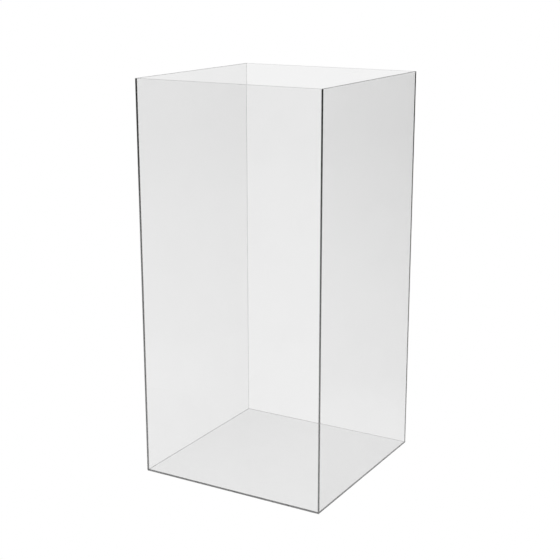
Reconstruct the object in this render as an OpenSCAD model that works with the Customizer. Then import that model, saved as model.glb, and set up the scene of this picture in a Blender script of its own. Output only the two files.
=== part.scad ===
// Display cube in clear acrylic sheet: five flat panels, butt jointed and bonded along every inside
// edge, open at the top.
//
// Frame: millimetres, +Z up, -Y is the front. The origin is the centre of the footprint, on the
// surface that the cube stands on.
//
// The front and back panels run the full width. The side panels fit between them, and the base lies
// inside all four, flush with their bottom edges. Each joint is filled by a film of cured adhesive.

/* [Cube] */
// Outside width, along X
cube_w = 400; // [150:1:600]
// Outside depth, along Y
cube_d = 400; // [150:1:600]
// Outside height, along Z
cube_h = 800; // [150:1:1000]

/* [Sheet] */
// Thickness of the acrylic sheet
sheet_t = 3; // [2:0.5:12]
// Width of the polished bevel that eases each exposed edge
bevel = 0.3; // [0.1:0.1:0.8]

/* [Adhesive] */
// Thickness of the cured film in a joint
film_t = 0.1; // [0.05:0.05:0.3]

/* [Hidden] */

half_w = cube_w / 2;
half_d = cube_d / 2;
inner_half_w = half_w - sheet_t;          // inside faces of the side panels
inner_half_d = half_d - sheet_t;          // inside faces of the front and back panels
side_half_d = inner_half_d - film_t;      // ends of the side panels
base_half_w = inner_half_w - film_t;      // edges of the base, left and right
base_half_d = inner_half_d - film_t;      // edges of the base, front and back
film_top = cube_h - bevel;                // the upright films stop under the rim's bevel

acrylic = [0.93, 0.95, 0.96, 0.35];
adhesive = [0.88, 0.91, 0.93, 0.6];

// Rectangle from [x0, y0] to [x1, y1] with each corner cut off by its own bevel. The cuts run from
// the low corner anticlockwise.
module bevelled_rect(x0, y0, x1, y1, cuts) {
    polygon([
        [x0 + cuts[0], y0], [x1 - cuts[1], y0],
        [x1, y0 + cuts[1]], [x1, y1 - cuts[2]],
        [x1 - cuts[2], y1], [x0 + cuts[3], y1],
        [x0, y1 - cuts[3]], [x0, y0 + cuts[0]]
    ]);
}

// Turns an outline drawn in X and Z into a solid from Y y0 to Y y1.
module extrude_along_y(y0, y1)
    translate([0, y1, 0]) rotate([90, 0, 0]) linear_extrude(y1 - y0) children();

// Turns an outline drawn in Y and Z into a solid from X x0 to X x1.
module extrude_along_x(x0, x1)
    translate([x0, 0, 0]) rotate([90, 0, 90]) linear_extrude(x1 - x0) children();

// A full-width wall at the front. Its ends are exposed, so they are bevelled all round, and its
// inside face is left sharp where the side panels and the base meet it.
module full_wall() {
    intersection() {
        linear_extrude(cube_h)
            bevelled_rect(-half_w, -half_d, half_w, -inner_half_d, [bevel, bevel, 0, 0]);
        extrude_along_x(-half_w, half_w)
            bevelled_rect(-half_d, 0, -inner_half_d, cube_h, [bevel, 0, bevel, bevel]);
        extrude_along_y(-half_d, -inner_half_d)
            bevelled_rect(-half_w, 0, half_w, cube_h, [bevel, bevel, bevel, bevel]);
    }
}

// A side wall at the left. Its ends meet the front and back panels, so they stay sharp.
module side_wall() {
    extrude_along_y(-side_half_d, side_half_d)
        bevelled_rect(-half_w, 0, -inner_half_w, cube_h, [bevel, 0, bevel, bevel]);
}

// Adhesive in the upright joint at the front left, between the side panel's end and the front panel.
module corner_bond()
    translate([-half_w, -inner_half_d, 0]) cube([sheet_t, film_t, film_top]);

// Adhesive along the front edge of the base, across the whole inside width.
module base_bond_front()
    translate([-inner_half_w, -inner_half_d, 0]) cube([2 * inner_half_w, film_t, sheet_t]);

// Adhesive along the left edge of the base, between the films at its front and back.
module base_bond_left()
    translate([-inner_half_w, -base_half_d, 0]) cube([film_t, 2 * base_half_d, sheet_t]);

module front_panel() color(acrylic) full_wall();
module back_panel() color(acrylic) mirror([0, 1, 0]) full_wall();
module left_panel() color(acrylic) side_wall();
module right_panel() color(acrylic) mirror([1, 0, 0]) side_wall();
module base_panel()
    color(acrylic) translate([-base_half_w, -base_half_d, 0])
        cube([2 * base_half_w, 2 * base_half_d, sheet_t]);

module bond_front_left() color(adhesive) corner_bond();
module bond_front_right() color(adhesive) mirror([1, 0, 0]) corner_bond();
module bond_back_left() color(adhesive) mirror([0, 1, 0]) corner_bond();
module bond_back_right() color(adhesive) mirror([1, 0, 0]) mirror([0, 1, 0]) corner_bond();
module bond_base_front() color(adhesive) base_bond_front();
module bond_base_back() color(adhesive) mirror([0, 1, 0]) base_bond_front();
module bond_base_left() color(adhesive) base_bond_left();
module bond_base_right() color(adhesive) mirror([1, 0, 0]) base_bond_left();

front_panel();
back_panel();
left_panel();
right_panel();
base_panel();
bond_front_left();
bond_front_right();
bond_back_left();
bond_back_right();
bond_base_front();
bond_base_back();
bond_base_left();
bond_base_right();
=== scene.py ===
import math
import bpy
import numpy as np
from mathutils import Matrix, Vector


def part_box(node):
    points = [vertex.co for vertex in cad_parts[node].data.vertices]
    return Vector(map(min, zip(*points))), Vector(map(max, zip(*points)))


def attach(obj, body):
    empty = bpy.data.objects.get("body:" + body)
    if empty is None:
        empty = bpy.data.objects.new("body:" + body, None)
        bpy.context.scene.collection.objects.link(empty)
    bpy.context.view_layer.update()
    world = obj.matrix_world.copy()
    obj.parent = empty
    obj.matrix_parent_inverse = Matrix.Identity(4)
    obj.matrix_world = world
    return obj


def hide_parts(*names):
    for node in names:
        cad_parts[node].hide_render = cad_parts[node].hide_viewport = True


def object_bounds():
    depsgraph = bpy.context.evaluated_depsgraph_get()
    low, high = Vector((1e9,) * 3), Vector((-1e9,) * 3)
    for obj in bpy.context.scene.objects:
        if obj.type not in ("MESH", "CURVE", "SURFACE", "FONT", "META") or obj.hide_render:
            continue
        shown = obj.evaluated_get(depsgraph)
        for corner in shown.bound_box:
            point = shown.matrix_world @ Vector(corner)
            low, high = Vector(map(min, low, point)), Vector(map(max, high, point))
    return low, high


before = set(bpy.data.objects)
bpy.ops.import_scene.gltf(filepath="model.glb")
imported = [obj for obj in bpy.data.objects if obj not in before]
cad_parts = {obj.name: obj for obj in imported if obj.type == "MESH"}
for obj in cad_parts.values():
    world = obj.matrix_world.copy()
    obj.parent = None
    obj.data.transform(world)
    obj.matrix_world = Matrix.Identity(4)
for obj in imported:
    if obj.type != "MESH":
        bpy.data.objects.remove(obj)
cadBox = [[float(value) for value in corner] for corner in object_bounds()]
mm = 0.001

# Clear display box, open at the top: five polished acrylic sheets, and the cement in the eight
# joints between them. Metres, origin in the middle of the footprint, front towards -Y.
partBox = {name: np.array(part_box(name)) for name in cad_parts}
wallT = float(np.ptp(partBox["front_panel"][:, 1]))      # thickness of the sheet
filmT = float(np.ptp(partBox["bond_front_left"][:, 1]))  # thickness of the cement in a joint
boxCentre = np.mean(cadBox, axis=0)
print("frame loaded: sheet", round(wallT / mm, 2), "mm, cement film", round(filmT / mm, 2), "mm")


def sweptFaces(rings, count):
    # Quads between each ring of count points and the next, then a flat face on either end. Rings run
    # anticlockwise as seen by someone they are coming towards, so every face points outwards.
    start = np.arange(rings - 1)[:, None] * count
    this = np.arange(count)[None, :]
    after = (this + 1) % count
    quads = np.stack([start + this, start + after, start + count + after, start + count + this], -1)
    ends = [np.arange(count)[::-1].tolist(), np.arange((rings - 1) * count, rings * count).tolist()]
    return quads.reshape(-1, 4).tolist() + ends


def addPiece(name, rings, material, nodeName):
    # rings is an array of (rings, points on a ring, xyz)
    mesh = bpy.data.meshes.new(name)
    mesh.from_pydata(rings.reshape(-1, 3).tolist(), [], sweptFaces(*rings.shape[:2]))
    mesh.materials.append(material)
    piece = bpy.data.objects.new(name, mesh)
    bpy.context.scene.collection.objects.link(piece)
    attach(piece, "root")
    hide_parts(nodeName)
    return piece


def feed(tree, socket, value):
    # a value is either another node's socket or a plain setting
    if isinstance(value, bpy.types.NodeSocket):
        tree.links.new(value, socket)
    else:
        socket.default_value = value


def mathNode(tree, operation, *values):
    # one sum: the operation done on the values in their order
    node = tree.nodes.new("ShaderNodeMath")
    node.operation = operation
    for socket, value in zip(node.inputs, values):
        feed(tree, socket, value)
    return node.outputs[0]


def fadeNode(tree, value, low, high, atLow, atHigh):
    # smooth step from atLow where value is low, to atHigh where it is high
    node = tree.nodes.new("ShaderNodeMapRange")
    node.interpolation_type = "SMOOTHSTEP"
    for label, setting in (("Value", value), ("From Min", low), ("From Max", high),
                           ("To Min", atLow), ("To Max", atHigh)):
        feed(tree, node.inputs[label], setting)
    return node.outputs["Result"]


def stretchNode(tree, vector, scale, turn=(0, 0, 0)):
    # the vector times scale, then turned about X, Y and Z by the degrees in turn
    node = tree.nodes.new("ShaderNodeMapping")
    feed(tree, node.inputs["Vector"], vector)
    node.inputs["Scale"].default_value = scale
    node.inputs["Rotation"].default_value = [math.radians(angle) for angle in turn]
    return node.outputs["Vector"]


def noiseNode(tree, vector, scale, detail, w=None):
    # soft noise about 0.5, of scale features to the unit; a w runs it along a fourth axis as well
    node = tree.nodes.new("ShaderNodeTexNoise")
    node.noise_dimensions = "3D" if w is None else "4D"
    feed(tree, node.inputs["Vector"], vector)
    node.inputs["Scale"].default_value = scale
    node.inputs["Detail"].default_value = detail
    if w is not None:
        feed(tree, node.inputs["W"], w)
    return node.outputs["Fac"]


def cellNodes(tree, vector, scale):
    # distance from the middle of a cell, and the cell's own random value
    node = tree.nodes.new("ShaderNodeTexVoronoi")
    feed(tree, node.inputs["Vector"], vector)
    node.inputs["Scale"].default_value = scale
    split = tree.nodes.new("ShaderNodeSeparateColor")
    feed(tree, split.inputs["Color"], node.outputs["Color"])
    return node.outputs["Distance"], split.outputs["Red"]


def startGroup(name, inputs, output):
    # a node group with named sockets: Position, the inputs with their defaults (None for a vector),
    # and one output
    group = bpy.data.node_groups.new(name, "ShaderNodeTree")
    group.interface.new_socket("Position", in_out="INPUT", socket_type="NodeSocketVector")
    for label, value in inputs.items():
        kind = "NodeSocketVector" if value is None else "NodeSocketFloat"
        socket = group.interface.new_socket(label, in_out="INPUT", socket_type=kind)
        if value is not None:
            socket.default_value = value
    group.interface.new_socket(output, in_out="OUTPUT", socket_type="NodeSocketFloat")
    result = group.nodes.new("NodeGroupOutput").inputs[output]
    return group, group.nodes.new("NodeGroupInput").outputs, result


def useGroup(tree, group, position, values):
    # the group's one output, worked out at position from the values
    node = tree.nodes.new("ShaderNodeGroup")
    node.node_tree = group
    feed(tree, node.inputs["Position"], position)
    for label, value in values.items():
        feed(tree, node.inputs[label], value)
    return node.outputs[0]


grain = {
    "rippleScale": 26,           # scales are in features to the metre
    "rippleDrawn": (1, 1, 0.3),
    "strokeDetail": 3,
    "strokeWidth": 0.02,         # how far from its middle value the noise still shows as a hairline
    "patchScale": 12,
    "patchEdge": (0.52, 0.64),
    "dustCells": 420,
    "dustCore": 0.02,
    "dustSlope": 0.7,            # least upward part of a face's normal that dust lies on
    "polishAlong": 12,
    "polishAcross": 9000,
}

# Sheet ripple: long shallow waves left by the rollers, drawn out along the sheet's height.
rippleGroup, given, result = startGroup("sheetRipple", {"Height": 1.0}, "Height")
drawn = stretchNode(rippleGroup, given["Position"], grain["rippleDrawn"])
waves = noiseNode(rippleGroup, drawn, grain["rippleScale"], 1)
feed(rippleGroup, result, mathNode(rippleGroup, "MULTIPLY", waves, given["Height"]))

# Wipe marks: hairlines where a drawn-out noise passes through its middle value, in patches. Drawn is
# the position stretched along the strokes of the cloth.
wipeGroup, given, result = startGroup("wipeMarks", {"Drawn": None, "Amount": 1.0}, "Mask")
strokes = noiseNode(wipeGroup, given["Drawn"], 1, grain["strokeDetail"])
offMiddle = mathNode(wipeGroup, "ABSOLUTE", mathNode(wipeGroup, "SUBTRACT", strokes, 0.5))
hairline = fadeNode(wipeGroup, offMiddle, 0.0, grain["strokeWidth"], 1.0, 0.0)
patch = noiseNode(wipeGroup, given["Position"], grain["patchScale"], 1)
patch = fadeNode(wipeGroup, patch, *grain["patchEdge"], 0.0, 1.0)
marks = mathNode(wipeGroup, "MULTIPLY", hairline, patch)
feed(wipeGroup, result, mathNode(wipeGroup, "MULTIPLY", marks, given["Amount"]))

# Settled dust: a round speck in each cell whose random value is under Cover, on faces that look up.
dustGroup, given, result = startGroup("settledDust", {"Cover": 0.2, "Size": 0.12}, "Mask")
distance, cellValue = cellNodes(dustGroup, given["Position"], grain["dustCells"])
speck = fadeNode(dustGroup, distance, grain["dustCore"], given["Size"], 1.0, 0.0)
facing = dustGroup.nodes.new("ShaderNodeSeparateXYZ")
feed(dustGroup, facing.inputs["Vector"], dustGroup.nodes.new("ShaderNodeNewGeometry").outputs["Normal"])
facesUp = mathNode(dustGroup, "GREATER_THAN", facing.outputs["Z"], grain["dustSlope"])
covered = mathNode(dustGroup, "LESS_THAN", cellValue, given["Cover"])
lying = mathNode(dustGroup, "MULTIPLY", facesUp, covered)
feed(dustGroup, result, mathNode(dustGroup, "MULTIPLY", speck, lying))

# Polish lines: fine lines along an edge. The noise changes fast across the edge and slowly along it.
polishGroup, given, result = startGroup("polishLines", {"Across": 0.0, "Edge": 0.0}, "Lines")
across = mathNode(polishGroup, "MULTIPLY", given["Across"], grain["polishAcross"])
lines = noiseNode(polishGroup, given["Position"], grain["polishAlong"], 2, across)
feed(polishGroup, result, mathNode(polishGroup, "MULTIPLY", lines, given["Edge"]))
print("surface groups made")


def clearMaterial(name, look):
    # clear plastic: light passes through it, and some is absorbed along the way that it takes
    material = bpy.data.materials.new(name)
    material.use_nodes = True
    tree = material.node_tree
    shader = tree.nodes["Principled BSDF"]
    shader.inputs["Transmission Weight"].default_value = 1.0
    shader.inputs["IOR"].default_value = look["ior"]
    absorb = tree.nodes.new("ShaderNodeVolumeAbsorption")
    absorb.inputs["Color"].default_value = (*look["tint"], 1)
    absorb.inputs["Density"].default_value = look["density"]
    feed(tree, tree.nodes["Material Output"].inputs["Volume"], absorb.outputs["Volume"])
    return material, tree, shader, tree.nodes.new("ShaderNodeTexCoord").outputs["Object"]


def finishSurface(tree, shader, tint, rough, height, rise):
    # the bump stands height times rise, in metres
    feed(tree, shader.inputs["Base Color"], tint)
    feed(tree, shader.inputs["Roughness"], rough)
    bump = tree.nodes.new("ShaderNodeBump")
    bump.inputs["Distance"].default_value = rise
    feed(tree, bump.inputs["Height"], height)
    feed(tree, shader.inputs["Normal"], bump.outputs["Normal"])


def attributeNode(tree, name):
    # the value that the mesh itself keeps under name
    node = tree.nodes.new("ShaderNodeAttribute")
    node.attribute_name = name
    return node.outputs["Fac"]


def sumNode(tree, start, *parts):
    # start plus each socket times its own weight
    total = start
    for value, weight in parts:
        total = mathNode(tree, "ADD", total, mathNode(tree, "MULTIPLY", value, weight))
    return total


def acrylicMaterial(name, look):
    # tint = clean tint - dust - wipe marks, roughness = polish lines + dust + wipe marks, and
    # height = ripple + polish lines, each by its own weight
    material, tree, shader, position = clearMaterial(name, look)
    ripple = useGroup(tree, rippleGroup, position, {"Height": 1.0})
    drawn = stretchNode(tree, position, look["strokeScale"], look["strokeTurn"])
    wipe = useGroup(tree, wipeGroup, position, {"Drawn": drawn, "Amount": look["wipe"]})
    dust = useGroup(tree, dustGroup, position, {"Cover": look["dustCover"], "Size": look["dustSize"]})
    polish = useGroup(tree, polishGroup, position, {"Across": attributeNode(tree, "acrossEdge"),
                                                    "Edge": attributeNode(tree, "polishedEdge")})
    tint = sumNode(tree, look["cleanTint"], (dust, -look["dustDark"]), (wipe, -look["wipeDark"]))
    rough = sumNode(tree, 0.0, (polish, look["edgeRoughness"]), (dust, look["dustRoughness"]),
                    (wipe, look["wipeRoughness"]))
    height = sumNode(tree, 0.0, (ripple, 1.0), (polish, look["polishHeight"]))
    finishSurface(tree, shader, tint, rough, height, look["rippleHeight"])
    return material


wallLook = {
    "ior": 1.49,
    "tint": (0.9, 0.9, 0.9),
    "density": 20.0,          # to the metre, for the tenth that the tint takes away
    "cleanTint": 0.976,
    "strokeScale": (25, 25, 800),  # slow along a stroke and fast across it
    "strokeTurn": (6, 24, 14),     # picks another part of the noise
    "wipe": 1.0,
    "wipeRoughness": 0.06,
    "wipeDark": 0.05,
    "dustCover": 0.10,
    "dustSize": 0.16,         # of a cell 2.4 mm across
    "dustRoughness": 0.5,
    "dustDark": 0.6,
    "edgeRoughness": 0.03,
    "rippleHeight": 0.008 * mm,
    "polishHeight": 0.05,     # of the ripple's height
}
floorLook = dict(wallLook, strokeScale=(25, 800, 25), strokeTurn=(8, 6, 35), wipe=1.3,
                 dustCover=0.25)
wallAcrylic = acrylicMaterial("wallAcrylic", wallLook)
floorAcrylic = acrylicMaterial("floorAcrylic", floorLook)

cement = {
    "ior": 1.48,
    "tint": (0.9, 0.9, 0.9),
    "density": 20.0,
    "cleanTint": 0.99,
    "bubbleScale": 700,       # cells to the metre
    "bubbleCover": 0.2,
    "bubbleEdge": (0.15, 0.3),
    "bubbleRoughness": 0.35,
    "bubbleDark": 0.1,
    "bubbleHeight": 0.02 * mm,
    "flowScale": 140,
    "flowRoughness": 0.03,
}


def cementMaterial(name, look):
    # Fine round bubbles in some cells, and between them the uneven finish that the cement flowed to:
    # tint = clean tint - bubbles and roughness = flow + bubbles, each by its own weight.
    material, tree, shader, position = clearMaterial(name, look)
    distance, cellValue = cellNodes(tree, position, look["bubbleScale"])
    bubble = mathNode(tree, "MULTIPLY", fadeNode(tree, distance, *look["bubbleEdge"], 1.0, 0.0),
                      mathNode(tree, "LESS_THAN", cellValue, look["bubbleCover"]))
    flow = noiseNode(tree, position, look["flowScale"], 3)
    tint = sumNode(tree, look["cleanTint"], (bubble, -look["bubbleDark"]))
    rough = sumNode(tree, 0.0, (flow, look["flowRoughness"]), (bubble, look["bubbleRoughness"]))
    finishSurface(tree, shader, tint, rough, bubble, look["bubbleHeight"])
    return material


curedCement = cementMaterial("curedCement", cement)
print("materials made")

sheet = {
    "arris": 0.3 * mm,         # radius that the bare edges are eased and polished to
    "arrisSteps": 6,
    "cornerRadius": 0.5 * mm,  # rounding of the front and back sheets' four corners
    "cornerSteps": 6,
}


def outlineRings(low, high, insets, radius, steps):
    # Rounded rectangles, one to each row of insets: a quarter turn of the radius round every corner,
    # anticlockwise. A row's insets are the sides' own, at low a, high a, low b and high b.
    turn = np.linspace(0, math.pi / 2, steps)
    angle = np.array([1.0, 1.5, 0.0, 0.5])[:, None] * math.pi + turn
    lowA, highA = low[0] + insets[:, 0] + radius, high[0] - insets[:, 1] - radius
    lowB, highB = low[1] + insets[:, 2] + radius, high[1] - insets[:, 3] - radius
    a = np.stack([lowA, highA, highA, lowA], -1)[:, :, None] + radius * np.cos(angle)
    b = np.stack([lowB, lowB, highB, highB], -1)[:, :, None] + radius * np.sin(angle)
    return np.stack([a, b], -1).reshape(len(insets), -1, 2)


def sheetRings(box, axis, outward, easeOuter, easeInner, rounded):
    # Outlines from the outer face to the inner one, and how deep each point lies. Over an eased edge,
    # with t a quarter turn, depth = arris (1 - sin t) and inset = arris (1 - cos t). The inset counts
    # only on the sides that are eased.
    low, high = box
    t = np.linspace(math.pi / 2, 0, sheet["arrisSteps"] + 1 if any(easeOuter + easeInner) else 1)
    inset, depth = sheet["arris"] * (1 - np.cos(t)), sheet["arris"] * (1 - np.sin(t))
    none = np.zeros(len(t))
    depth = np.concatenate([depth, high[axis] - low[axis] - depth[::-1]])
    insets = (np.outer(np.concatenate([inset, none]), easeOuter)
              + np.outer(np.concatenate([none, inset[::-1]]), easeInner))
    flat = [k for k in range(3) if k != axis]
    radius, steps = (sheet["cornerRadius"], sheet["cornerSteps"]) if rounded else (0.0, 1)
    outline = outlineRings(low[flat], high[flat], insets, radius, steps)
    rings = np.empty((*outline.shape[:2], 3))
    rings[:, :, flat] = outline
    rings[:, :, axis] = (high[axis] - depth if outward > 0 else low[axis] + depth)[:, None]
    depth = np.repeat(depth, outline.shape[1]).reshape(outline.shape[:2])
    backwards = outward * (-1 if axis == 1 else 1) > 0
    return (rings[::-1], depth[::-1]) if backwards else (rings, depth)


# axis is the one across the sheet, outward is the way that its outer face looks, and the eased sides
# are in the order of outlineRings
allRound, topAndBottom, topOnly, bare = [1, 1, 1, 1], [0, 0, 1, 1], [0, 0, 0, 1], [0, 0, 0, 0]
sheets = {
    "front": dict(axis=1, outward=-1, easeOuter=allRound, easeInner=topOnly, rounded=True),
    "back": dict(axis=1, outward=1, easeOuter=allRound, easeInner=topOnly, rounded=True),
    "left": dict(axis=0, outward=-1, easeOuter=topAndBottom, easeInner=topOnly, rounded=False),
    "right": dict(axis=0, outward=1, easeOuter=topAndBottom, easeInner=topOnly, rounded=False),
    "base": dict(axis=2, outward=-1, easeOuter=bare, easeInner=bare, rounded=False),
}
for side, shape in sheets.items():
    rings, depth = sheetRings(partBox[side + "_panel"], **shape)
    material = floorAcrylic if side == "base" else wallAcrylic
    piece = addPiece(side + "_sheet", rings, material, side + "_panel")
    isEdge = np.ones(len(piece.data.polygons), np.float32)
    isEdge[-2:] = 0  # the last two faces are the sheet's flats
    piece.data.attributes.new("polishedEdge", "FLOAT", "FACE").data.foreach_set("value", isEdge)
    piece.data.attributes.new("acrossEdge", "FLOAT", "POINT").data.foreach_set("value", depth.ravel())
print("sheets made:", len(sheets))

bead = {
    "gap": 0.02 * mm,          # hairline of air that the front and base joints keep beside the cement
    "bite": -0.01 * mm,        # the back uprights are wetted through: the cement reaches into the sheets
    "recess": 0.02 * mm,       # of the film's outer edge
    "leg": 0.4 * mm,           # size of the fillet that creeps out inside a joint
    "legSwing": 0.12 * mm,
    "leastLeg": 0.08 * mm,
    "taper": 2.0 * mm,         # length over which it runs out at a corner
    "cornerHold": 0.6 * mm,    # length beyond the next sheet's face before it swells
    "rimHold": 1.0 * mm,
    "endGap": 0.2 * mm,
    "station": 4.0 * mm,       # between one profile and the next
    "taperSteps": 9,
    "arcSteps": 7,
    "waveLength": (25 * mm, 140 * mm),
    "waves": 3,
    "seed": 41,
}


def beadLegs(along, start, end, random):
    # Leg = mean + the average of a few sine waves of random length and phase, brought down to the
    # least leg by a smooth step at both ends.
    length = random.uniform(*bead["waveLength"], bead["waves"])
    phase = random.uniform(0, 2 * math.pi, bead["waves"])
    swing = np.sin(2 * math.pi * along[:, None] / length + phase).mean(1)
    near = np.clip(np.minimum(along - start, end - along) / bead["taper"], 0, 1)
    swell = bead["leg"] + bead["legSwing"] * swing - bead["leastLeg"]
    return bead["leastLeg"] + swell * near * near * (3 - 2 * near)


def beadRings(box, inwards, across, along, start, end, gap, random):
    # A profile carried along the joint. In it p runs inwards and q across the film. It follows the
    # film, then the fillet's hollow quarter turn s: p = reach + leg (1 - cos s) and
    # q = gap + leg (1 - sin s).
    low, high = box
    taper = bead["taper"] * np.linspace(0, 1, bead["taperSteps"])
    count = round((end - start) / bead["station"])
    middle = np.linspace(start + taper[-1], end - taper[-1], count)
    first, last = low[along] + bead["endGap"], high[along] - bead["endGap"]
    place = np.concatenate([[first], start + taper[:-1], middle, end - taper[-2::-1], [last]])
    leg = beadLegs(place, start, end, random)[:, None]
    s, one = np.linspace(math.pi / 2, 0, bead["arcSteps"])[None, :], np.ones_like(leg)
    outerEdge, reach = bead["recess"] * one, (high[inwards[0]] - low[inwards[0]] + gap) * one
    nearFace, farFace = gap * one, (filmT - gap) * one
    p = np.concatenate([outerEdge, reach + leg * (1 - np.cos(s)), reach, outerEdge], 1)
    q = np.concatenate([nearFace, gap + leg * (1 - np.sin(s)), farFace, farFace], 1)
    rings = np.empty((*p.shape, 3))
    for (axis, sign), value in ((inwards, p), (across, q)):
        rings[:, :, axis] = low[axis] + value if sign > 0 else high[axis] - value
    rings[:, :, along] = place[:, None]
    rightHanded = (across[0] - inwards[0]) % 3 == 1
    return rings if (inwards[1] * across[1] > 0) == rightHanded else rings[::-1]


# each wall's axis, and the way into the box from it
inward = {"front": (1, 1), "back": (1, -1), "left": (0, 1), "right": (0, -1)}
baseTop = partBox["base_panel"][1, 2]
random = np.random.default_rng(bead["seed"])
joints = [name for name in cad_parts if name.startswith("bond_")]
for name in joints:
    first, second = name.split("_")[1:]
    low, high = partBox[name]
    if first == "base":
        inwards, across, along = (2, 1), inward[second], 1 - inward[second][0]
        start, end = low[along] + bead["cornerHold"], high[along] - bead["cornerHold"]
    else:
        inwards, across, along = inward[second], inward[first], 2
        start, end = baseTop + bead["cornerHold"], high[2] - bead["rimHold"]
    gap = bead["bite" if first == "back" else "gap"]
    rings = beadRings((low, high), inwards, across, along, start, end, gap, random)
    addPiece(name.replace("bond", "cement"), rings, curedCement, name)


def studioGlow(tree, reflected):
    # white as seen directly or through the sheets, and the reflected tone once a ray has bounced: on the
    # floor this tone is a painted reflection, in the sky it is the studio's light
    depth = tree.nodes.new("ShaderNodeLightPath").outputs["Glossy Depth"]
    bounced = mathNode(tree, "GREATER_THAN", depth, 0.5)
    mix = tree.nodes.new("ShaderNodeMix")
    mix.data_type = "RGBA"
    mix.inputs[6].default_value = (1, 1, 1, 1)
    feed(tree, mix.inputs["Factor"], bounced)
    feed(tree, mix.inputs[7], reflected)
    return mix.outputs[2]


def toneRamp(tree, value, tones):
    # grey by value, in straight steps between the (value, tone) pairs
    ramp = tree.nodes.new("ShaderNodeValToRGB")
    feed(tree, ramp.inputs["Fac"], value)
    stops = ramp.color_ramp.elements
    stops[0].position, stops[1].position = tones[0][0], tones[-1][0]
    for place, tone in tones[1:-1]:
        stops.new(place)
    for stop, (place, tone) in zip(stops, tones):
        stop.color = (tone, tone, tone, 1)
    return ramp.outputs["Color"]


def distanceNode(tree, spot, centre):
    # metres from spot to centre
    node = tree.nodes.new("ShaderNodeVectorMath")
    node.operation = "DISTANCE"
    feed(tree, node.inputs[0], spot)
    node.inputs[1].default_value = centre
    return node.outputs["Value"]


def sideGlow(tree, vector):
    # |x2 - y2| / (x2 + y2) is 1 straight out from each side and 0 out from the corners
    parts = tree.nodes.new("ShaderNodeSeparateXYZ")
    feed(tree, parts.inputs["Vector"], vector)
    xx, yy = [mathNode(tree, "MULTIPLY", parts.outputs[axis], parts.outputs[axis])
              for axis in ("X", "Y")]
    apart = mathNode(tree, "ABSOLUTE", mathNode(tree, "SUBTRACT", xx, yy))
    straight = mathNode(tree, "DIVIDE", apart, mathNode(tree, "ADD", xx, yy))
    return fadeNode(tree, straight, *studio["glowSpread"], 0.0, studio["sideGlow"])


studio = {
    "floorHalf": 60.0,
    "floorDrop": 0.3 * mm,        # below the box, so that the two faces don't coincide
    # painted pool of light: the floor's tone as seen in reflections, brightest at poolCentre and darker
    # outwards by poolTones
    "poolCentre": (0.27, 0.2, 0.0),
    "poolSize": 5.0,              # the tones' places are shares of this
    "poolTones": ((0.0, 0.62), (0.045, 0.56), (0.07, 0.47), (0.12, 0.43), (0.2, 0.39), (0.35, 0.29),
                  (0.54, 0.2), (0.76, 0.13), (1.0, 0.07)),
    # painted bright patch on the floor, seen only in reflections: it fades out around this centre
    "paintedPatchCentre": (0.9, -2.1, 0.0),
    "paintedPatchSize": (0.3, 1.8, 0.8),  # full tone out to the first radius, none at the second, and the tone
    # brighter tone straight out from each side: painted on the floor in reflections, and part of the
    # sky's light
    "sideGlow": 0.55,
    "glowSpread": (0.75, 0.95),
    "glowStart": (0.9, 2.2),
    "skyTones": ((0.08, 0.02), (0.26, 0.42), (0.5, 0.55), (1.0, 1.0)),
}
half, drop = studio["floorHalf"], -studio["floorDrop"]
floorMesh = bpy.data.meshes.new("studio_floor")
floorCorners = [(-half, -half, drop), (half, -half, drop), (half, half, drop), (-half, half, drop)]
floorMesh.from_pydata(floorCorners, [], [(0, 1, 2, 3)])
# The floor glows plain white seen directly or through the sheets. In reflections it shows painted light
# instead: a pool that darkens outwards from poolCentre, a bright patch, and a glow straight out from the
# sides.
paleFloor = bpy.data.materials.new("paleFloor")
paleFloor.use_nodes = True
tree = paleFloor.node_tree
tree.nodes.remove(tree.nodes["Principled BSDF"])
spot = tree.nodes.new("ShaderNodeNewGeometry").outputs["Position"]
outwards = mathNode(tree, "DIVIDE", distanceNode(tree, spot, studio["poolCentre"]), studio["poolSize"])
pool = toneRamp(tree, outwards, studio["poolTones"])
near, far, tone = studio["paintedPatchSize"]
paintedPatch = fadeNode(tree, distanceNode(tree, spot, studio["paintedPatchCentre"]), near, far, tone, 0.0)
beyond = fadeNode(tree, distanceNode(tree, spot, (0, 0, 0)), *studio["glowStart"], 0.0, 1.0)
side = mathNode(tree, "MULTIPLY", sideGlow(tree, spot), beyond)
pool = mathNode(tree, "MAXIMUM", mathNode(tree, "MAXIMUM", pool, paintedPatch), side)
glow = tree.nodes.new("ShaderNodeEmission")
feed(tree, glow.inputs["Color"], studioGlow(tree, pool))
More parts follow.
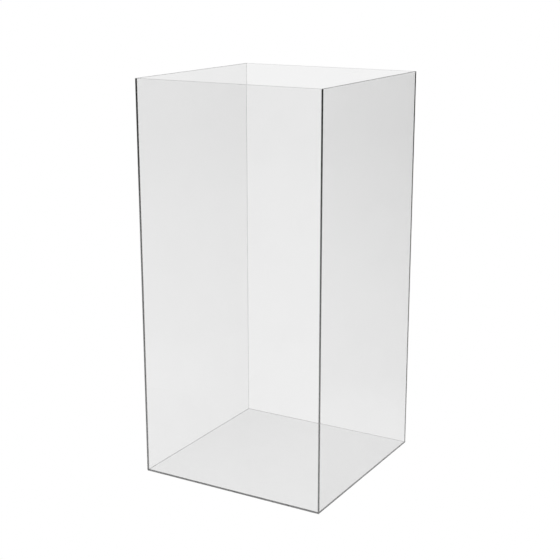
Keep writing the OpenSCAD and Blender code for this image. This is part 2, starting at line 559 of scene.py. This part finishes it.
feed(tree, tree.nodes["Material Output"].inputs["Surface"], glow.outputs["Emission"])
floorMesh.materials.append(paleFloor)
studioFloor = bpy.data.objects.new("studio_floor", floorMesh)
bpy.context.scene.collection.objects.link(studioFloor)

bpy.context.scene.world = bpy.data.worlds.new("studio")
bpy.context.scene.world.use_nodes = True
tree = bpy.context.scene.world.node_tree
direction = tree.nodes.new("ShaderNodeTexCoord").outputs["Generated"]
heading = tree.nodes.new("ShaderNodeSeparateXYZ")
feed(tree, heading.inputs["Vector"], direction)
sky = toneRamp(tree, mathNode(tree, "ABSOLUTE", heading.outputs["Z"]), studio["skyTones"])
sky = mathNode(tree, "MAXIMUM", sky, sideGlow(tree, direction))
feed(tree, tree.nodes["Background"].inputs["Color"], studioGlow(tree, sky))
print("studio made")

view = {
    "azimuth": 30.0,
    "elevation": 15.1,
    "distance": 2.384,
    "lens": 75.4,
    "sensor": 36.0,
    "drop": 0.013,      # of the camera below its line to the middle of the box
    "reach": 200,
    "bounces": 120,     # light that enters an edge crosses its sheet's faces a hundred times
}
azimuth, elevation = math.radians(view["azimuth"]), math.radians(view["elevation"])
backward = np.array([math.sin(azimuth) * math.cos(elevation), -math.cos(azimuth) * math.cos(elevation),
                     math.sin(elevation)])
rightward = np.array([math.cos(azimuth), math.sin(azimuth), 0.0])
upward = np.cross(backward, rightward)
place = boxCentre + backward * view["distance"] - upward * view["drop"]
cameraData = bpy.data.cameras.new("studio_camera")
cameraData.lens = view["lens"]
cameraData.sensor_width = view["sensor"]
cameraData.clip_end = view["reach"]
camera = bpy.data.objects.new("studio_camera", cameraData)
rows = [[rightward[k], upward[k], backward[k], place[k]] for k in range(3)]
camera.matrix_world = Matrix(rows + [[0, 0, 0, 1]])
bpy.context.scene.collection.objects.link(camera)
bpy.context.scene.camera = camera
bpy.context.scene.view_settings.view_transform = "Standard"
bpy.context.scene.cycles.max_bounces = view["bounces"]
bpy.context.scene.cycles.glossy_bounces = view["bounces"]
bpy.context.scene.cycles.transmission_bounces = view["bounces"]
print("camera made")
